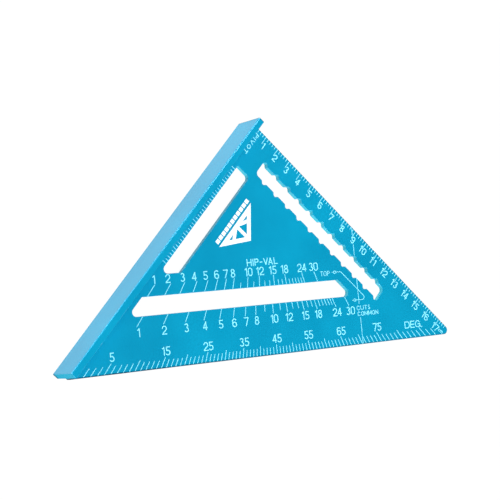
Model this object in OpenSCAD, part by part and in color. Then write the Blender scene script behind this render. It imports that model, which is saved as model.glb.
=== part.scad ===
// Metric speed square (rafter square): a flat triangular blade with a T-shaped fence along one leg.
// Origin: the pivot point, where the ruler edge meets the fence's working face, at mid-thickness.
// +X runs along the ruler edge, the fence runs along -Y and +Z points out of the front face.

/* [Blade] */
// Leg of the triangle, from the pivot point to where the slanted edge would meet it
leg = 183.4; // [150:0.1:240]
// Thickness of the blade
blade_t = 3; // [2:0.1:6]
// Rounding of the sharp tip
tip_r = 2.6; // [1:0.1:5]

/* [Fence] */
// Height of the fence across both of its flanges
fence_h = 22.4; // [14:0.1:40]
// Thickness of the fence
fence_t = 3.8; // [2:0.1:8]
// How far the fence stops short of the corner of the triangle
fence_trim = 1; // [0.5:0.1:3]
// Rounding of the two long outer edges of the fence
fence_edge_r = 0.8; // [0.3:0.1:1]

/* [Slots] */
// Rounding of the slot corners
slot_r = 2.4; // [1:0.1:3]
// Metal left between the fence and the two slots beside it
slot_inset = 6.3; // [5.5:0.1:9]
// Width of the slot along the fence
fence_slot_w = 9.7; // [6:0.1:12]
// Distance from the ruler edge to the top of the slot along the fence
fence_slot_top = 26; // [24:0.1:32]
// Metal left between the slot along the fence and the roof slot
slot_web = 11.4; // [11.2:0.1:14]
// Width of the roof slot, which runs along the slanted edge
roof_slot_w = 10; // [6:0.1:12]
// Metal left between the slanted edge and the roof slot
degree_band = 28.6; // [27:0.1:32]
// Metal left between the scribing slot and the end of the roof slot
roof_slot_web = 9.7; // [8.5:0.1:12]
// Length of the straight end of the roof slot
roof_slot_nose = 3.5; // [3.2:0.1:6]

/* [Scribing slot] */
// Metal left between the ruler edge and the scribing slot
ruler_band = 13.2; // [12:0.1:15]
// Width of the scribing slot
scribe_slot_w = 8.15; // [6:0.05:9]
// Start of the scribing slot, from the pivot point
scribe_start = 17.7; // [17:0.1:18]
// Least metal left between the end of the scribing slot and the slanted edge
scribe_end_web = 24.5; // [20:0.1:30]
// Depth of the pencil notches
notch_depth = 1.45; // [1:0.05:2]
// Radius of the pencil notches
notch_r = 1.3; // [0.5:0.1:1.4]

/* [Printed scales] */
// Thickness of the printed marks
ink_h = 0.1; // [0.05:0.01:0.3]
// Width of the tick lines
tick_w = 0.32; // [0.25:0.01:0.5]
// Stroke width of numerals and large names
bold_w = 0.52; // [0.4:0.01:0.7]
// Stroke width of small names and of the leader
fine_w = 0.33; // [0.25:0.01:0.5]
// Clear edge between a mark and the edge of the metal
ink_inset = 0.2; // [0.2:0.05:0.4]
// Height of the degree and rafter numerals
numeral_h = 4.7; // [3:0.1:4.8]
// Height of the ruler numerals
ruler_numeral_h = 4.25; // [3:0.05:5]
// Start of the long guide line on the ruler edge, as a part of the leg
guide_part = 0.469; // [0.4:0.001:0.55]

/* [Hidden] */

$fn = 64;
body_colour = [0, 0.62, 0.8];
ink_colour = [0.93, 0.97, 0.98];
eps = 0.01;
diag = sqrt(2);

// A slanted line is named by its reach: the distance from the pivot at which it meets each leg.
fence_l = leg - fence_trim;
roof_low = leg - degree_band * diag;
roof_high = roof_low - roof_slot_w * diag;
fence_slot_low = roof_high - slot_web * diag;
fence_slot_x = slot_inset + fence_slot_w;
scribe_low = ruler_band + scribe_slot_w;
roof_slot_top = scribe_low + roof_slot_web;
roof_slot_x = roof_low - roof_slot_top - roof_slot_nose;

// Pencil notches: one every centimetre on both sides, with the two sides half a step apart
notch_step = 10;
low_notch_1 = 25;
high_notch_1 = 19.35;
notch_mouth = notch_depth + notch_r * (diag - 1);
notch_room = leg - scribe_low - scribe_end_web * diag - low_notch_1 - notch_mouth;
notch_n = floor(notch_room / notch_step);
scribe_end = low_notch_1 + notch_n * notch_step + notch_mouth - 0.3;

// Every scale gives the depth at which its ticks end and its numerals are centred, square to the
// edge of the metal that it starts from.

// Ruler scale
tick_step = 2;
ruler_first = 4;
ruler_ink = 2;
ruler_long_ink = 5.1;
ruler_last = tick_step * floor((leg - 7) / tick_step);
numeral_top = 3.35;
numeral_space = 0.1;
centimetre_last = floor((leg - 13.3) / 10);

// Degree scale
degree_first = 2;
degree_last = 87;
degree_inset = 0.5;
degree_ink = 4.4;
degree_long_ink = 5.8;
degree_numeral_d = 9;
degree_shift = 0.75;

// Rafter scales on both sides of the roof slot: ten parts of run give n parts of rise
run = 10;
hip_run = run * diag;
rafter_long = [1, 2, 3, 4, 5, 6, 7, 8, 10, 12, 15, 18, 24, 30];
rafter_short = [9, 11, 13, 14, 16, 17, 19, 20, 21, 22, 23];
common_ink = 5.4;
common_short_ink = 3.95;
common_numeral_d = 8.45;
common_shift = [1, 0.4, 0.4, 0.4, 0.4, 0.4, 0.4, 0.4, 0.35, 0.8, 0.55, 0.55, 0.55, 0.8];
hip_ink = 5.95;
hip_short_ink = 3.2;
hip_numeral_d = 8.75;
hip_shift = [-0.2, -1.5, -1, -1.5, -1.3, -0.4, -0.2, -0.6, 0.75, 0.75, -0.1, 0.25, 0.45, 0];

// Long guide line
guide_start = guide_part * leg;

// Scale along the fence slot
fence_tick_first = fence_slot_top + 3;
fence_tick_room = fence_slot_low - slot_inset - slot_r * (1 + diag) - fence_tick_first;
fence_tick_n = floor(fence_tick_room / tick_step);
fence_tick_ink = 2.15;
fence_long_ink = 3.25;

// Emblem: sized to the free metal between the fence slot, the scribing slot and the hip numerals
emblem_x = fence_slot_x + 5.8;
emblem_low = roof_high - (hip_numeral_d + numeral_h / 2) * diag;
emblem_room = emblem_low - emblem_x - scribe_low;
emblem_margin = 20;
emblem_rise = 0.51;
emblem_l = (emblem_room - emblem_margin) / (1 + emblem_rise);
emblem_y = -(emblem_low - emblem_x - emblem_rise * emblem_l - 4.6);
tab_n = 11;
tab_h = 0.07;
truss_base = 0.11;
truss_bar = 0.075;

// A point on the slanted line with this reach, on the ray that has this slope from the fence line
function ray_point(reach, slope) = [reach * slope, -reach] / (1 + slope);
// A point from its distance along the slanted direction and its depth square to it
function slant_point(along, depth) = [along + depth, along - depth] / diag;
// How far along the slanted direction a slanted line of this reach is crossed by the ray of a slope
function ray_along(reach, slope) = reach * (slope - 1) / (slope + 1) / diag;
function is_in(value, list) = len(search(value, list)) > 0;

// ---------- metal ----------

// A convex outline with some corners cut by chords, filled out by rounds given as centre and radius
module rounded_outline(points, rounds) {
    polygon(points);
    for (round = rounds)
        translate(round[0]) circle(round[1]);
}

module blade_outline() {
    tip = [leg - tip_r * (1 + diag), -tip_r];
    rounded_outline([
        [-fence_t / 2, 0],
        [tip.x, 0],
        tip + [tip_r, -tip_r] / diag,
        [fence_trim, -fence_l],
        [-fence_t / 2, -fence_l]
    ], [[tip, tip_r]]);
}

module fence_slot_outline() {
    low = [slot_inset + slot_r, slot_inset + slot_r * (1 + diag) - fence_slot_low];
    high = [fence_slot_x - slot_r, -fence_slot_top - slot_r];
    rounded_outline([
        [slot_inset, -fence_slot_top],
        [high.x, -fence_slot_top],
        [fence_slot_x, high.y],
        [fence_slot_x, fence_slot_x - fence_slot_low],
        low + [slot_r, -slot_r] / diag,
        [slot_inset, low.y]
    ], [[low, slot_r], [high, slot_r]]);
}

module roof_slot_outline() {
    low = [slot_inset + slot_r, slot_inset + slot_r * (1 + diag) - roof_low];
    high_r = min(slot_r, 0.97 * roof_slot_nose / diag);
    high = [roof_slot_x - high_r, -roof_slot_top - high_r];
    rounded_outline([
        [slot_inset, slot_inset - roof_high],
        [roof_high - roof_slot_top, -roof_slot_top],
        [high.x, -roof_slot_top],
        [roof_slot_x, high.y],
        [roof_slot_x, roof_slot_x - roof_low],
        low + [slot_r, -slot_r] / diag,
        [slot_inset, low.y]
    ], [[low, slot_r], [high, high_r]]);
}

// A V cut towards +Y into the side of the scribing slot, with its flanks ending just inside the round
module notch_outline() {
    bottom = notch_depth - notch_r;
    flank = 0.95 * notch_r / diag;
    polygon([
        [-notch_mouth, 0],
        [-notch_mouth, -1],
        [notch_mouth, -1],
        [notch_mouth, 0],
        [flank, bottom + flank],
        [-flank, bottom + flank]
    ]);
    translate([0, bottom]) circle(notch_r);
}

module scribe_slot_outline() {
    low = [scribe_start + slot_r, slot_r - scribe_low];
    high = [scribe_end - slot_r, -ruler_band - slot_r];
    rounded_outline([
        [scribe_start, -ruler_band],
        [high.x, -ruler_band],
        [scribe_end, high.y],
        [scribe_end, -scribe_low],
        [low.x, -scribe_low],
        [scribe_start, low.y]
    ], [[low, slot_r], [high, slot_r]]);
    intersection() {
        for (i = [0 : notch_n]) {
            translate([low_notch_1 + i * notch_step, -scribe_low]) mirror([0, 1]) notch_outline();
            translate([high_notch_1 + i * notch_step, -ruler_band]) notch_outline();
        }
        translate([scribe_start, -leg]) square([scribe_end - scribe_start, leg]);
    }
}

module blade() {
    translate([0, 0, -blade_t / 2]) linear_extrude(blade_t) difference() {
        blade_outline();
        fence_slot_outline();
        roof_slot_outline();
        scribe_slot_outline();
    }
}

module fence() {
    r = fence_edge_r;
    rotate([90, 0, 0]) linear_extrude(fence_l) {
        translate([r - fence_t, -fence_h / 2]) square([fence_t - r, fence_h]);
        translate([-fence_t, r - fence_h / 2]) square([r + eps, fence_h - 2 * r]);
        for (side = [-1, 1])
            translate([r - fence_t, side * (fence_h / 2 - r)]) circle(r);
    }
}

module square_body() {
    color(body_colour) {
        blade();
        fence();
    }
}

// ---------- strokes and glyphs ----------

// Straight stroke with square ends
module stroke(a, b, w) {
    d = b - a;
    translate([a.x, a.y, 0]) rotate(atan2(d.y, d.x)) translate([0, -w / 2, 0])
        cube([norm(d), w, ink_h]);
}

// Round end or joint of a stroke
module dot(p, w) {
    translate([p.x, p.y, 0]) cylinder(d = w, h = ink_h, $fn = 24);
}

module ring_arc(c, r, from, to, w) {
    translate([c.x, c.y, 0]) rotate(from) rotate_extrude(angle = to - from, $fn = 48)
        translate([r - w / 2, 0]) square([w, ink_h]);
}

// Glyph strokes: $u is the size of a unit, ten units make the height, and $w is the stroke width
module line(a, b) { stroke(a * $u, b * $u, $w); }
module joint(p) { dot(p * $u, $w); }
module arc(c, r, from, to) { ring_arc(c * $u, r * $u, from, to, $w); }

module glyph(c, w) {
    t = $w / $u;
    h = t / 2;
    m = w / 2;
    r = m - h;
    low = m;
    high = 10 - m;
    right = w - h;
    if (c == "0" || c == "O") {
        arc([m, high], r, 0, 180);
        arc([m, low], r, 180, 360);
        line([h, low], [h, high]);
        line([right, low], [right, high]);
    }
    if (c == "1") {
        line([w - t, 0], [w - t, 10]);
        line([w - t, 10 - h], [h, 7.6]);
    }
    if (c == "2") {
        arc([m, high], r, -40, 180);
        line([m + r * cos(-40), high + r * sin(-40)], [h, t]);
        joint([m + r * cos(-40), high + r * sin(-40)]);
        line([0, h], [w, h]);
    }
    if (c == "3") {
        arc([m - 0.1, 7.55], 2.45 - h, -90, 160);
        arc([m - 0.1, 2.85], 2.85 - h, -160, 90);
    }
    if (c == "4") {
        line([w - 1.9, 0], [w - 1.9, 10]);
        line([w - 1.9 - h / 2, 10 - h], [h, 2.3]);
        line([0, 2.3 + h], [w, 2.3 + h]);
    }
    if (c == "5") {
        line([1, 10 - h], [w - 0.3, 10 - h]);
        line([1 + h, 4.9], [1 + h, 10]);
        arc([m - 0.1, m], r, -155, 128);
    }
    if (c == "6" || c == "9") {
        turn = c == "9";
        translate(turn ? [w * $u, 10 * $u, 0] : [0, 0, 0]) rotate(turn ? 180 : 0) {
            arc([m, low], r, 0, 360);
            arc([m, high], r, 25, 180);
            line([h, low], [h, high]);
            joint([h, high]);
        }
    }
    if (c == "7") {
        line([0, 10 - h], [w, 10 - h]);
        line([right, 10 - t], [m - 0.9, 0]);
    }
    if (c == "8") {
        arc([m, 7.45], 2.55 - h, 0, 360);
        arc([m, m - 0.2], r - 0.2, 0, 360);
    }
    if (c == "A" || c == "V") {
        turn = c == "V";
        translate(turn ? [w * $u, 10 * $u, 0] : [0, 0, 0]) rotate(turn ? 180 : 0) {
            line([h, 0], [m, 10 - h]);
            line([right, 0], [m, 10 - h]);
            joint([m, 10 - h]);
            if (!turn)
                line([1.5, 3.2], [w - 1.5, 3.2]);
        }
    }
    if (c == "C" || c == "G") {
        arc([m, high], r, 25, 180);
        arc([m, low], r, 180, 335);
        line([h, low], [h, high]);
        if (c == "G") {
            line([right, 0.6], [right, 4.8]);
            line([m, 4.8], [w, 4.8]);
        }
    }
    if (c == "D") {
        line([h, 0], [h, 10]);
        line([h, h], [m, h]);
        line([h, 10 - h], [m, 10 - h]);
        arc([m, high], r, 0, 90);
        arc([m, low], r, 270, 360);
        line([right, low], [right, high]);
    }
    if (c == "E" || c == "L") {
        line([h, 0], [h, 10]);
        line([h, h], [w, h]);
        if (c == "E") {
            line([h, 5], [w - 0.6, 5]);
            line([h, 10 - h], [w, 10 - h]);
        }
    }
    if (c == "H") {
        line([h, 0], [h, 10]);
        line([right, 0], [right, 10]);
        line([h, 5], [right, 5]);
    }
    if (c == "I")
        line([m, 0], [m, 10]);
    if (c == "M") {
        line([h, 0], [h, 10]);
        line([right, 0], [right, 10]);
        line([h, 10 - h], [m, 2.5]);
        line([right, 10 - h], [m, 2.5]);
        joint([m, 2.5]);
    }
    if (c == "N") {
        line([h, 0], [h, 10]);
        line([right, 0], [right, 10]);
        line([h, 10 - h], [right, h]);
    }
    if (c == "P") {
        line([h, 0], [h, 10]);
        line([h, 10 - h], [w - 2.8, 10 - h]);
        line([h, 4.4 + h], [w - 2.8, 4.4 + h]);
        arc([w - 2.8, 7.2], 2.8 - h, -90, 90);
    }
    if (c == "S") {
        arc([m, 7.45], 2.55 - h, 20, 270);
        arc([m, 2.75], 2.75 - h, -160, 90);
    }
    if (c == "T") {
        line([0, 10 - h], [w, 10 - h]);
        line([m, 0], [m, 10 - h]);
    }
    if (c == "U") {
        arc([m, low], r, 180, 360);
        line([h, low], [h, 10]);
        line([right, low], [right, 10]);
    }
    if (c == "c")
        arc([m, 3], 3 - h, 45, 315);
    if (c == "m") {
        for (x = [h, m, right])
            line([x, 0], [x, 4.6]);
        for (x = [(m + h) / 2, (m + right) / 2])
            arc([x, 4.6], (m - h) / 2, 0, 180);
    }
    if (c == "-")
        line([0, 4.6], [w, 4.6]);
    if (c == ".")
        line([0, h], [w, h]);
}

function glyph_w(c) =
    is_in(c, "I.") ? 1.6 :
    c == "1" ? 4 :
    c == "-" ? 4.6 :
    c == "M" ? 9.4 :
    c == "m" ? 9 :
    c == "c" ? 5.4 :
    is_in(c, "ACDGHNOUV") ? 8.2 :
    is_in(c, "EPST") ? 7 :
    c == "L" ? 6.4 :
    6.3;

// Where glyph i of a word starts, in units
function start_of(word, i, gap, wide) =
    i == 0 ? 0 : start_of(word, i - 1, gap, wide) + glyph_w(word[i - 1]) * wide + gap - kern(word, i);
// How much closer than the others a V and an A are set
function kern(word, i) = word[i - 1] == "V" && word[i] == "A" ? 1.8 : 0;

// A word centred on a point: "up" is the direction of the tops of its letters turned by angle.
// On the rear face each word is mirrored, so it reads the right way from behind.
module word_at(p, angle, word, height, w, rear, gap = 0.6, wide = 1) {
    $u = height / 10;
    $w = w;
    last = len(word) - 1;
    whole = start_of(word, last, gap, wide) + glyph_w(word[last]) * wide;
    translate([p.x, p.y, 0]) rotate(angle) mirror([rear ? 1 : 0, 0, 0])
        translate([-whole * $u / 2, -height / 2, 0])
            for (i = [0 : last])
                translate([start_of(word, i, gap, wide) * $u, 0, 0])
                    glyph(word[i], glyph_w(word[i]) * wide);
}

module on_face(rear) {
    translate([0, 0, rear ? -blade_t / 2 - ink_h : blade_t / 2]) color(ink_colour) children();
}

// ---------- scales, drawn once and used on both faces ----------

module ruler_ticks() {
    for (x = [ruler_first : tick_step : ruler_last])
        stroke([x, -ink_inset], [x, x % 10 == 0 ? -ruler_long_ink : -ruler_ink], tick_w);
}

module ruler_numerals(rear) {
    side = rear ? -1 : 1;
    h = ruler_numeral_h;
    clear = tick_w / 2 + numeral_space;
    for (n = [1 : centimetre_last]) {
        tens = clear + glyph_w("1") * h / 20;
        units = clear + glyph_w("0") * h / 20 + (n < 10 ? 0 : 0.3);
        if (n >= 10)
            word_at([10 * n - side * tens, -numeral_top - h / 2], 0, str(floor(n / 10)), h, bold_w, rear);
        word_at([10 * n + side * units, -numeral_top - h / 2], 0, str(n % 10), h, bold_w, rear);
    }
}

module degree_ticks() {
    for (a = [degree_first : degree_last]) {
        depth = a % 5 == 0 ? degree_long_ink : degree_ink;
        stroke(ray_point(leg - degree_inset * diag, tan(a)), ray_point(leg - depth * diag, tan(a)), tick_w);
    }
}

module degree_numerals(rear) {
    side = rear ? -1 : 1;
    for (a = [5 : 10 : 75]) {
        foot = ray_point(leg - degree_long_ink * diag, tan(a));
        up = degree_numeral_d - degree_long_ink;
        word_at(foot + slant_point(side * degree_shift, -up), 45, str(a), numeral_h, bold_w, rear);
    }
}

// One rafter scale: base is the reach of the slot's side, way is 1 where the ticks run outwards, and
// last is how far along the slanted direction the scale may go before it meets the names.
module rafter_ticks(base, way, per, last, long_ink, short_ink) {
    for (n = concat(rafter_long, rafter_short)) if (ray_along(base, n / per) < last) {
        depth = is_in(n, rafter_long) ? long_ink : short_ink;
        stroke(ray_point(base + way * ink_inset * diag, n / per),
            ray_point(base + way * depth * diag, n / per), tick_w);
    }
}

module rafter_numerals(base, way, per, last, long_ink, numeral_d, shift, rear) {
    side = rear ? -1 : 1;
    for (i = [0 : len(rafter_long) - 1]) if (ray_along(base, rafter_long[i] / per) < last) {
        n = rafter_long[i];
        foot = ray_point(base + way * long_ink * diag, n / per);
        word_at(foot + slant_point(side * shift[i], way * (numeral_d - long_ink)), 45, str(n),
            numeral_h, bold_w, rear);
    }
}

module common_ticks() { rafter_ticks(roof_low, 1, run, common_last, common_ink, common_short_ink); }
module hip_ticks() { rafter_ticks(roof_high, -1, hip_run, hip_last, hip_ink, hip_short_ink); }

module common_numerals(rear) {
    rafter_numerals(roof_low, 1, run, common_last, common_ink, common_numeral_d, common_shift, rear);
}

module hip_numerals(rear) {
    rafter_numerals(roof_high, -1, hip_run, hip_last, hip_ink, hip_numeral_d, hip_shift, rear);
}

module fence_slot_ticks() {
    for (i = [0 : fence_tick_n]) {
        y = -fence_tick_first - i * tick_step;
        long = i % 5 == 0 ? fence_long_ink : fence_tick_ink;
        stroke([slot_inset - ink_inset, y], [slot_inset - long, y], tick_w);
    }
}

// Where the names at the end of the roof slot sit
end_along = (2 * roof_slot_x - roof_low) / diag;
end_depth = roof_low / diag;
cuts_at = [end_along + 11.5, end_depth + 7.4];
common_at = [end_along + 14.4, end_depth + 10.8];
top_at = [roof_high / diag - roof_slot_top * diag - 8.8, roof_high / diag - 4.25];
// Where the rafter scales have to stop to leave room for the names
common_last = cuts_at.x - 13;
hip_last = top_at.x - 5.5;

// The guide line crosses the blade square to the slanted edge. It stops at the ruler numerals, the
// slot and the names.
module guide_line() {
    along = guide_start / diag;
    start = guide_start / 2;
    spans = [
        [start + tick_w / 2 + 0.4, start + numeral_top + 0.25],
        [start + numeral_top + ruler_numeral_h - 0.2, start + ruler_band - 0.8 * notch_depth],
        [start + scribe_low + ink_inset, (cuts_at.y - 2.4) / diag],
        [(common_at.y + 2.2) / diag, leg / 2 - ink_inset / diag]
    ];
    for (s = spans)
        stroke(slant_point(along, s[0] * diag), slant_point(along, s[1] * diag), tick_w);
}

// Leader from the word for the top cut to the words beside the common scale, with a ring at each end
module top_cut_leader() {
    ring_r = 0.75;
    tail = 1.3;
    bend_r = 1.4;
    run_y = 5.05 - roof_slot_top;
    slant = [1, 1] / diag;
    from = slant_point(top_at.x + 6.9, top_at.y - 0.35);
    to = slant_point(cuts_at.x - 5.75, cuts_at.y - 4.8);
    turn = from + [1, 1] * (run_y - from.y);
    bend = [to.x - to.y + run_y - bend_r * (1 + diag), run_y - bend_r];
    stroke(from + slant * ring_r, turn, fine_w);
    dot(turn, fine_w);
    stroke(turn, [bend.x, run_y], fine_w);
    dot([bend.x, run_y], fine_w);
    ring_arc(bend, bend_r, -45, 90, fine_w);
    dot(bend + [bend_r, -bend_r] / diag, fine_w);
    stroke(bend + [bend_r, -bend_r] / diag, to + slant * ring_r, fine_w);
    for (end = [from, to]) {
        ring_arc(end, ring_r, 0, 360, fine_w);
        stroke(end - slant * ring_r, end - slant * (ring_r + tail), fine_w);
    }
}

module scale_names(rear) {
    side = rear ? -1 : 1;
    word_at([4.75, -10], -90, "PIVOT", 2.5, (fine_w + bold_w) / 2, rear, 3, 1.4);
    word_at([10 * centimetre_last + side * 5.4, -4.6], 0, "cm", 2.4, 0.35, rear, 0.8);
    word_at(slant_point(leg / diag - 29.9, leg / diag - 8.15), 45, "DEG.", 4.2, bold_w, rear, 1.2, 1.12);
    word_at(slant_point(-4.15, roof_high / diag - 13.9), 45, "HIP-VAL", 3.9, bold_w, rear, 1.75);
    word_at(slant_point(top_at.x, top_at.y), 45, "TOP", 2.8, fine_w, rear, 1.8, 0.9);
    word_at(slant_point(cuts_at.x, cuts_at.y), 45, "CUTS", 2.65, fine_w, rear, 1.6, 1.08);
    word_at(slant_point(common_at.x, common_at.y), 45, "COMMON", 2.5, fine_w, rear, 1.4, 1.05);
}

// Roof truss over a course of shingle tabs, both in parts of the emblem's own length
module roof_emblem() {
    u = emblem_l;
    b = truss_bar * u;
    peak = (emblem_rise - truss_base) * u;
    inner_r = u * peak / (u + 2 * norm([u / 2, peak]));
    middle = [u / 2, inner_r];
    frame = [[0, 0], [u, 0], [u / 2, peak]];
    translate([emblem_x, emblem_y + u, 0]) rotate(-90) {
        for (i = [0 : tab_n - 1])
            translate([i * u / tab_n, 0, 0]) cube([0.8 * u / tab_n, tab_h * u, ink_h]);
        translate([0, truss_base * u, 0]) {
            linear_extrude(ink_h) difference() {
                polygon(frame);
                polygon([for (p = frame) middle + (p - middle) * (1 - b / inner_r)]);
            }
            stroke([u / 2, b / 2], [u / 2, peak - b], 0.8 * b);
            for (k = [-1, 1])
                stroke([u / 2 + k * b / 4, b / 2], [u / 2 + k * u / 4, peak / 2 - b / 2], 0.8 * b);
        }
    }
}

// ---------- sub-parts ----------

module front_ruler_ticks() { on_face(false) ruler_ticks(); }
module front_ruler_numerals() { on_face(false) ruler_numerals(false); }
module front_degree_ticks() { on_face(false) degree_ticks(); }
module front_degree_numerals() { on_face(false) degree_numerals(false); }
module front_common_ticks() { on_face(false) common_ticks(); }
module front_common_numerals() { on_face(false) common_numerals(false); }
module front_hip_ticks() { on_face(false) hip_ticks(); }
module front_hip_numerals() { on_face(false) hip_numerals(false); }
module front_fence_slot_ticks() { on_face(false) fence_slot_ticks(); }
module front_guide_line() { on_face(false) guide_line(); }
module front_top_cut_leader() { on_face(false) top_cut_leader(); }
module front_scale_names() { on_face(false) scale_names(false); }
module front_roof_emblem() { on_face(false) roof_emblem(); }
module rear_ruler_ticks() { on_face(true) ruler_ticks(); }
module rear_ruler_numerals() { on_face(true) ruler_numerals(true); }
module rear_degree_ticks() { on_face(true) degree_ticks(); }
module rear_degree_numerals() { on_face(true) degree_numerals(true); }
module rear_common_ticks() { on_face(true) common_ticks(); }
module rear_common_numerals() { on_face(true) common_numerals(true); }
module rear_hip_ticks() { on_face(true) hip_ticks(); }
module rear_hip_numerals() { on_face(true) hip_numerals(true); }
module rear_fence_slot_ticks() { on_face(true) fence_slot_ticks(); }
module rear_guide_line() { on_face(true) guide_line(); }
module rear_top_cut_leader() { on_face(true) top_cut_leader(); }
module rear_scale_names() { on_face(true) scale_names(true); }

square_body();
front_ruler_ticks();
front_ruler_numerals();
front_degree_ticks();
front_degree_numerals();
front_common_ticks();
front_common_numerals();
front_hip_ticks();
front_hip_numerals();
front_fence_slot_ticks();
front_guide_line();
front_top_cut_leader();
front_scale_names();
front_roof_emblem();
rear_ruler_ticks();
rear_ruler_numerals();
rear_degree_ticks();
rear_degree_numerals();
rear_common_ticks();
rear_common_numerals();
rear_hip_ticks();
rear_hip_numerals();
rear_fence_slot_ticks();
rear_guide_line();
rear_top_cut_leader();
rear_scale_names();
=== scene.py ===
import bmesh
import bpy
import math
from mathutils import Matrix, Vector


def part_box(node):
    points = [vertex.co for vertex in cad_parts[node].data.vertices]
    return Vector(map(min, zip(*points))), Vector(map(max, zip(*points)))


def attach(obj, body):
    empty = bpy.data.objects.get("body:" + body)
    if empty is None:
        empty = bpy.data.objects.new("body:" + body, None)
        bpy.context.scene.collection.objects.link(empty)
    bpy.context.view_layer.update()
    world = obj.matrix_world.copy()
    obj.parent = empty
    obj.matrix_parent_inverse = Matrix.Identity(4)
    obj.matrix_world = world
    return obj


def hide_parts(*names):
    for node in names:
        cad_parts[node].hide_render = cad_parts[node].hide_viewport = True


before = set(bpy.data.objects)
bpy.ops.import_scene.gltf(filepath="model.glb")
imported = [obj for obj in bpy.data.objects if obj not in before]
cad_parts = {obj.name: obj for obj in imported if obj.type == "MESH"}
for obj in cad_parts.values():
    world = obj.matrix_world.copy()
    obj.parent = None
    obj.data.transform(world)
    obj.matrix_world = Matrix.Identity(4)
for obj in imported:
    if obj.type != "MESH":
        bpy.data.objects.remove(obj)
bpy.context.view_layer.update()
print("frame loaded:", len(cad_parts), "nodes")

mm = 0.001
squareLow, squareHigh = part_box("square_body")
fenceDepth = squareHigh.z             # the fence stands this far out on both sides of the blade
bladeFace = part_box("front_ruler_ticks")[0].z
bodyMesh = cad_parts["square_body"].data
slantReach = max(vert.co.x - vert.co.y for vert in bodyMesh.vertices)   # x - y on the slanted edge


# small helpers for materials

def newMaterial(name):
    material = bpy.data.materials.new(name)
    material.use_nodes = True
    tree = material.node_tree
    tree.nodes.clear()
    output = tree.nodes.new("ShaderNodeOutputMaterial")
    shader = tree.nodes.new("ShaderNodeBsdfPrincipled")
    tree.links.new(shader.outputs["BSDF"], output.inputs["Surface"])
    return material, tree, shader


def feed(tree, socket, source):
    if isinstance(source, bpy.types.NodeSocket):
        tree.links.new(source, socket)
    else:
        socket.default_value = source


def addNode(tree, kind, inputs=None, **settings):
    node = tree.nodes.new(kind)
    for key, value in settings.items():
        setattr(node, key, value)
    for key, source in (inputs or {}).items():
        feed(tree, node.inputs[key], source)
    return node


def addRamp(tree, source, places, colours):
    ramp = addNode(tree, "ShaderNodeValToRGB", {"Fac": source})
    while len(ramp.color_ramp.elements) < len(places):
        ramp.color_ramp.elements.new(0.5)
    for element, place, colour in zip(ramp.color_ramp.elements, places, colours):
        element.position = place
        element.color = (*colour, 1)
    return ramp.outputs["Color"]


def addNoise(tree, place, scale, detail, roughness=0.5):
    return addNode(tree, "ShaderNodeTexNoise", {"Vector": place, "Scale": scale, "Detail": detail,
                                                "Roughness": roughness}).outputs["Fac"]


def addBump(tree, height, strength, distance):
    return addNode(tree, "ShaderNodeBump", {"Height": height, "Strength": strength,
                                            "Distance": distance}).outputs["Normal"]


def mixColours(tree, amount, first, second, blend="MIX"):
    mix = addNode(tree, "ShaderNodeMix", data_type="RGBA", blend_type=blend)
    for index, source in ((0, amount), (6, first), (7, second)):    # the sockets of a colour mix
        feed(tree, mix.inputs[index], source)
    return mix.outputs[2]


def shade(tree, kind, first, second):
    return addNode(tree, "ShaderNodeMath", {0: first, 1: second}, operation=kind).outputs[0]


def stretch(tree, source, low, high, newLow=0.0, newHigh=1.0):
    return addNode(tree, "ShaderNodeMapRange", {"Value": source, "From Min": low, "From Max": high,
                                                "To Min": newLow, "To Max": newHigh}).outputs["Result"]


# finishes of the metal; scales are per metre

extruded = {
    "deep": (0.0, 0.300, 0.515),      # dye over the drawn faces
    "light": (0.0, 0.345, 0.575),
    "roughness": 0.40,
    "coat": 0.35,                     # sealed oxide layer over the dye
    "coatRoughness": 0.14,
    "specular": 0.2,
    "metallic": 0.25,
    "grain": 2700.0,                  # fine tooth of the etched surface
    "grainHeight": 0.035,
}

milled = {
    "deep": (0.0, 0.30, 0.46),        # the sawn ends take the dye a little deeper
    "light": (0.02, 0.38, 0.56),
    "roughness": 0.6,
    "coat": 0.0,
    "coatRoughness": 0.2,
    "specular": 0.05,
    "metallic": 0.1,
    "grain": 4200.0,
    "grainHeight": 0.08,
}

slotted = {
    "deep": (0.0, 0.38, 0.50),        # the walls of the slots are coloured lighter than the drawn faces
    "light": (0.01, 0.50, 0.64),
    "roughness": 0.5,
    "coat": 0.3,
    "coatRoughness": 0.25,
    "specular": 0.4,
    "metallic": 0.1,
    "grain": 4200.0,
    "grainHeight": 0.08,
}

anodising = {
    "cloudScale": 22.0,               # slow changes of tone
    "cloudRange": (0.35, 0.65),
    "fleckTone": 0.94,                # hollows of the grain, against 1 on top
    "fleckRange": (0.3, 0.7),
    "smearScale": 45.0,               # handling marks that change the gloss
    "smearSpread": 0.05,
    "scuffScale": 160.0,              # lighter specks where the edges are worn, which also paint a highlight line along the broken edges
    "scuffRange": (0.52, 0.72),
    "scuffAndHighlightColour": (0.30, 0.60, 0.72),
    "grainDistance": 0.2 * mm,
    "coatIor": 1.6,
}

edgeShade = {
    "colour": (0.0, 0.012, 0.040),    # painted shadow, near black, along the slanted edge; the ruler edge is darkened too
    "amount": 1.0,
    "slantWidth": 0.95 * mm,
    "slantFull": 0.4,                 # part of the width that is dark all through
    "slantFade": (-110 * mm, 150 * mm),         # from here to here in x + y the slanted edge fades
    "slantLeast": 0.45,
    "rulerWidth": 0.60 * mm,
    "rulerFull": 0.3,
    "rulerAmount": 0.75,
    "patchScale": 90.0,
    "patchRange": (0.3, 0.6),
    "patchLeast": 0.65,
    "footHigh": -8.5 * mm,            # painted contact shadow on the lower corner of the fence's sawn end
    "footLow": -11.3 * mm,
    "footDepth": (0.6 * mm, 0.2 * mm),
}


# painted shadow along the slanted edge, strongest near the fence and fading towards the tip
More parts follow.
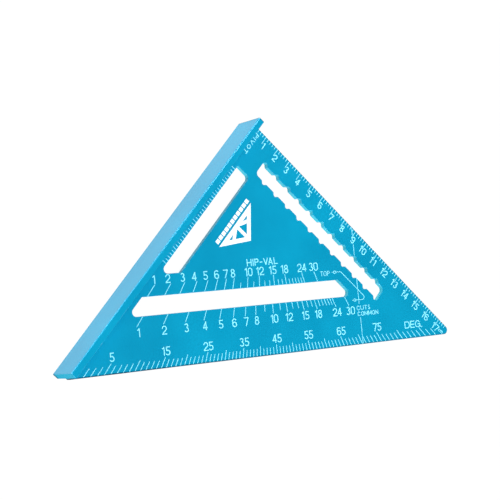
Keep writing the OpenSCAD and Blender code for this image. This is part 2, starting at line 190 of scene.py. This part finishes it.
def slantShadowMask(tree, x, y, values):
    reach = shade(tree, "SUBTRACT", x, y)
    dark = stretch(tree, reach, slantReach - values["slantWidth"] * math.sqrt(2),
                   slantReach - values["slantFull"] * values["slantWidth"])
    fade = stretch(tree, shade(tree, "ADD", x, y), *values["slantFade"], 1.0, values["slantLeast"])
    return shade(tree, "MULTIPLY", dark, fade)


# painted contact shadow where the fence's sawn end meets the table
def footShadowMask(tree, y, z, values):
    low = stretch(tree, z, values["footHigh"], values["footLow"])
    end = stretch(tree, y, *(squareLow.y + depth for depth in values["footDepth"]))
    return shade(tree, "MULTIPLY", low, end)


# painted shade along the measuring edges and at the fence's foot, broken up by noise
def edgeShadeMask(tree, place, values):
    axes = addNode(tree, "ShaderNodeSeparateXYZ", {"Vector": place})
    x, y, z = (axes.outputs[axis] for axis in "XYZ")
    ruler = stretch(tree, y, -values["rulerWidth"], -values["rulerFull"] * values["rulerWidth"],
                    0.0, values["rulerAmount"])
    edges = shade(tree, "MAXIMUM", slantShadowMask(tree, x, y, values), ruler)
    uneven = addNoise(tree, place, values["patchScale"], 3.0)
    patchy = stretch(tree, uneven, *values["patchRange"], values["patchLeast"], 1.0)
    edges = shade(tree, "MULTIPLY", edges, patchy)
    return shade(tree, "MULTIPLY", shade(tree, "MAXIMUM", edges, footShadowMask(tree, y, z, values)),
                 values["amount"])


def dyeColour(tree, place, grain, finish, wearAndHighlight, values):
    cloud = addNoise(tree, place, values["cloudScale"], 4.0, 0.55)
    dye = addRamp(tree, cloud, values["cloudRange"], (finish["deep"], finish["light"]))
    fleck = addRamp(tree, grain, values["fleckRange"], ((values["fleckTone"],) * 3, (1.0,) * 3))
    colour = mixColours(tree, 1.0, dye, fleck, "MULTIPLY")
    # worn specks, lighter; on the broken edges they also serve as a painted highlight
    if wearAndHighlight:
        scuff = addNoise(tree, place, values["scuffScale"], 5.0, 0.6)
        scuffAndHighlight = addRamp(tree, scuff, values["scuffRange"], ((0.0,) * 3, (wearAndHighlight,) * 3))
        colour = mixColours(tree, scuffAndHighlight, colour, (*values["scuffAndHighlightColour"], 1))
    return colour


def makeAnodised(name, finish, wearAndHighlight=0.0):
    material, tree, shader = newMaterial(name)
    values = anodising
    place = addNode(tree, "ShaderNodeTexCoord").outputs["Object"]
    grain = addNoise(tree, place, finish["grain"], 2.0)
    smear = addNoise(tree, place, values["smearScale"], 3.0)
    # painted shade: along these edges the colour goes dark and the gloss and coat are taken off
    dark = edgeShadeMask(tree, place, edgeShade)
    colour = dyeColour(tree, place, grain, finish, wearAndHighlight, values)
    sockets = {
        "Base Color": mixColours(tree, dark, colour, (*edgeShade["colour"], 1)),
        "Roughness": stretch(tree, smear, 0.0, 1.0, finish["roughness"] - values["smearSpread"],
                             finish["roughness"] + values["smearSpread"]),
        "Metallic": finish["metallic"],
        "Specular IOR Level": stretch(tree, dark, 0.0, 1.0, finish["specular"], 0.0),
        "Coat Weight": stretch(tree, dark, 0.0, 1.0, finish["coat"], 0.0),
        "Coat Roughness": finish["coatRoughness"],
        "Coat IOR": values["coatIor"],
        "Normal": addBump(tree, grain, finish["grainHeight"], values["grainDistance"]),
    }
    for key, source in sockets.items():
        feed(tree, shader.inputs[key], source)
    return material


# inks of the printed marks

fineInk = {
    "full": (0.26, 0.80, 0.93),       # thin marks, where the blue shows through the ink
    "thin": (0.18, 0.70, 0.88),
}

solidInk = {
    "full": (0.86, 0.90, 0.91),
    "thin": (0.74, 0.84, 0.88),
}

printing = {
    "coverScale": 1500.0,
    "coverRange": (0.3, 0.5),
    "bump": 0.05,
    "bumpDistance": 0.1 * mm,
    "roughness": 0.62,
    "specular": 0.3,
}


def makeInk(name, ink, values=printing):
    material, tree, shader = newMaterial(name)
    place = addNode(tree, "ShaderNodeTexCoord").outputs["Object"]
    cover = addNoise(tree, place, values["coverScale"], 3.0)
    sockets = {
        "Base Color": addRamp(tree, cover, values["coverRange"], (ink["thin"], ink["full"])),
        "Roughness": values["roughness"],
        "Specular IOR Level": values["specular"],
        "Normal": addBump(tree, cover, values["bump"], values["bumpDistance"]),
    }
    for key, source in sockets.items():
        feed(tree, shader.inputs[key], source)
    return material


bodyFinishes = (
    makeAnodised("blueAnodised", extruded),
    makeAnodised("blueAnodisedCut", milled),
    makeAnodised("blueAnodisedSlot", slotted),
    makeAnodised("blueAnodisedEdgeWearHighlight", extruded, wearAndHighlight=0.4),
)
drawnFace, sawnEnd, slotWall, wornHighlightEdge = range(len(bodyFinishes))
scaleInk = makeInk("scaleInk", fineInk)
emblemInk = makeInk("emblemInk", solidInk)
print("finishes made")


# metal body: the CAD shape with its sharp corners broken

body = {
    "joinDistance": 0.02 * mm,
    "flatAngle": 0.6,                 # degrees; faces that turn less than this become one
    "edgeBreak": 0.15 * mm,
    "sharpAngle": 32,                 # degrees; a turn above this counts as a corner
    "shadeAngle": 35,                 # degrees; a turn above this stays crisp when lit
    "fenceFace": 1 * mm,              # faces this far along x or less belong to the drawn fence
    "onPlane": 0.05 * mm,             # a face this close to a plane lies on it
}


def finishOf(face, values):
    middle = face.calc_center_median()
    near = values["onPlane"]
    if abs(face.normal.z) > 0.5:
        return drawnFace
    onSlant = abs(middle.x - middle.y - slantReach) < near
    if middle.y > -near or onSlant or middle.y < squareLow.y + near:
        return sawnEnd
    return slotWall if middle.x > values["fenceFace"] else drawnFace


def makeBody(values):
    bm = bmesh.new()
    bm.from_mesh(bodyMesh)
    bmesh.ops.remove_doubles(bm, verts=bm.verts, dist=values["joinDistance"])
    bmesh.ops.dissolve_limit(bm, angle_limit=math.radians(values["flatAngle"]), verts=bm.verts,
                             edges=bm.edges)
    for face in bm.faces:
        face.smooth = True
        face.material_index = finishOf(face, values)
    limit = math.radians(values["sharpAngle"])
    corners = [edge for edge in bm.edges
               if len(edge.link_faces) == 2 and edge.calc_face_angle_signed(0) > limit]
    made = bmesh.ops.bevel(bm, geom=corners, offset=values["edgeBreak"], offset_type="OFFSET",
                           affect="EDGES", segments=2, profile=0.5, clamp_overlap=False, material=-1)
    # the broken edges take the worn finish, whose lighter specks also paint a highlight line along them
    for face in made["faces"]:
        face.material_index = wornHighlightEdge
    mesh = bpy.data.meshes.new("squareBody")
    bm.to_mesh(mesh)
    bm.free()
    for material in bodyFinishes:
        mesh.materials.append(material)
    mesh.set_sharp_from_angle(angle=math.radians(values["shadeAngle"]))
    piece = bpy.data.objects.new("squareBody", mesh)
    bpy.context.scene.collection.objects.link(piece)
    piece.modifiers.new("flatFaces", "WEIGHTED_NORMAL").keep_sharp = True
    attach(piece, "root")
    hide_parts("square_body")
    return piece


squareBody = makeBody(body)
print("body made:", len(squareBody.data.polygons), "faces")


# printed scales: the CAD nodes themselves, in ink

for name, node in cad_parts.items():
    if name == "square_body":
        continue
    node.data.materials.clear()
    node.data.materials.append(emblemInk if name == "front_roof_emblem" else scaleInk)
print("scales inked")


# a light table under the square

table = {
    "size": 8.0,
    "tone": (0.02, 0.02, 0.02, 1),
    "roughness": 0.9,
    "glow": 1.0,                      # lit from below, so nothing casts a shadow on it
    "glowColour": (1, 1, 1, 1),
}


def makeFloor(values):
    bm = bmesh.new()
    bmesh.ops.create_grid(bm, x_segments=1, y_segments=1, size=values["size"] / 2)
    lean = math.atan2(fenceDepth - bladeFace, squareHigh.x)   # the square rests on its fence and its tip
    turn = Matrix.Translation((0, 0, squareLow.z)) @ Matrix.Rotation(-lean, 4, "Y")
    bmesh.ops.transform(bm, matrix=turn, verts=bm.verts)
    mesh = bpy.data.meshes.new("floor")
    bm.to_mesh(mesh)
    bm.free()
    floor = bpy.data.objects.new("floor", mesh)
    bpy.context.scene.collection.objects.link(floor)
    material, tree, shader = newMaterial("paleFloor")
    sockets = {
        "Base Color": values["tone"],
        "Roughness": values["roughness"],
        "Specular IOR Level": 0.0,
        "Emission Color": values["glowColour"],
        "Emission Strength": values["glow"],
    }
    for key, source in sockets.items():
        feed(tree, shader.inputs[key], source)
    mesh.materials.append(material)


# walls, lamps and camera

walls = {
    "low": 0.8,                       # light from the pale walls round the table
    "high": 0.0,                      # dark above, so that the face shows its own colour
    "fade": (0.35, 0.6),              # from the wall's top to the ceiling
}


def makeSky(values):
    world = bpy.data.worlds.new("studio")
    bpy.context.scene.world = world
    world.use_nodes = True
    tree = world.node_tree
    tree.nodes.clear()
    output = tree.nodes.new("ShaderNodeOutputWorld")
    place = addNode(tree, "ShaderNodeTexCoord").outputs["Generated"]
    height = addNode(tree, "ShaderNodeSeparateXYZ", {"Vector": place}).outputs["Z"]
    low = (values["low"],) * 3
    high = (values["high"],) * 3
    glow = addRamp(tree, height, (0.0, *values["fade"]), (low, low, high))
    sky = addNode(tree, "ShaderNodeBackground", {"Color": glow})
    tree.links.new(sky.outputs["Background"], output.inputs["Surface"])


lamps = {
    "inFront": {"place": (0.45, -1.30, 1.25), "size": 0.8, "power": 30.0},
    "byTheTip": {"place": (0.95, -0.35, 0.80), "size": 0.6, "power": 6.6},
    "overThePivot": {"place": (-0.15, 0.20, 0.40), "size": 0.22, "power": 1.3},
    "byTheFence": {"place": (-1.0, 0.35, 0.26), "size": 0.5, "power": 4.0},
    "alongTheTable": {"place": (-1.0, 0.0, 0.08), "size": 0.14, "power": 3.6},
}


def addLamp(name, values, target):
    data = bpy.data.lights.new(name, "AREA")
    data.shape = "DISK"
    data.size = values["size"]
    data.energy = values["power"]
    lamp = bpy.data.objects.new(name, data)
    lamp.location = values["place"]
    lamp.rotation_euler = (target - Vector(values["place"])).to_track_quat("-Z", "Y").to_euler()
    bpy.context.scene.collection.objects.link(lamp)


cameraSet = {
    "place": (-0.23329, -0.37702, 0.64137),
    "turn": (5.98875, -32.88095, 38.34167),     # degrees about X, Y and Z
    "lens": 99.11,
    "sensor": 36,
    "nearest": 0.01,
    "farthest": 50,
}


def makeCamera(values):
    data = bpy.data.cameras.new("camera")
    data.lens = values["lens"]
    data.sensor_width = values["sensor"]
    data.clip_start = values["nearest"]
    data.clip_end = values["farthest"]
    camera = bpy.data.objects.new("camera", data)
    camera.location = values["place"]
    camera.rotation_euler = [math.radians(angle) for angle in values["turn"]]
    bpy.context.scene.collection.objects.link(camera)
    bpy.context.scene.camera = camera


makeFloor(table)
makeSky(walls)
squareMiddle = (squareLow + squareHigh) / 2
for name, values in lamps.items():
    addLamp(name, values, squareMiddle)
makeCamera(cameraSet)
bpy.context.scene.view_settings.view_transform = "Standard"
print("stage set")
